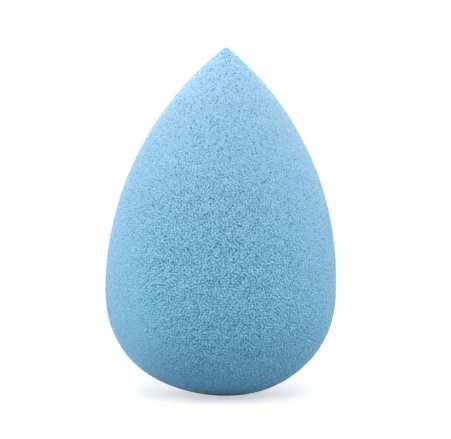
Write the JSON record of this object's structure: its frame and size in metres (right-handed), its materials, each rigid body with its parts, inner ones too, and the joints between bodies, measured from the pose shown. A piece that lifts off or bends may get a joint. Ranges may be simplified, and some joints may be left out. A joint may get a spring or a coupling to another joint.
{
  "type": "makeup sponge",
  "caption": "Teardrop of soft open-cell foam for blending make-up, with a pointed tip, a rounded flank, a full belly and a small flat foot.",
  "frame": {"origin": "middle of the flat foot, on the surface that the sponge stands on", "axes": "+Z along the sponge's own axis of revolution, from the foot to the tip; +X to the right and +Y away from the viewer as pictured"},
  "size_m": [0.04, 0.04, 0.06],
  "materials": {
    "blue_foam": "matte, dry, fine open-cell polyurethane foam, with small pores all over"
  },
  "bodies": {
    "root": {"foam_body": "blue_foam"}
  },
  "joints": []
}
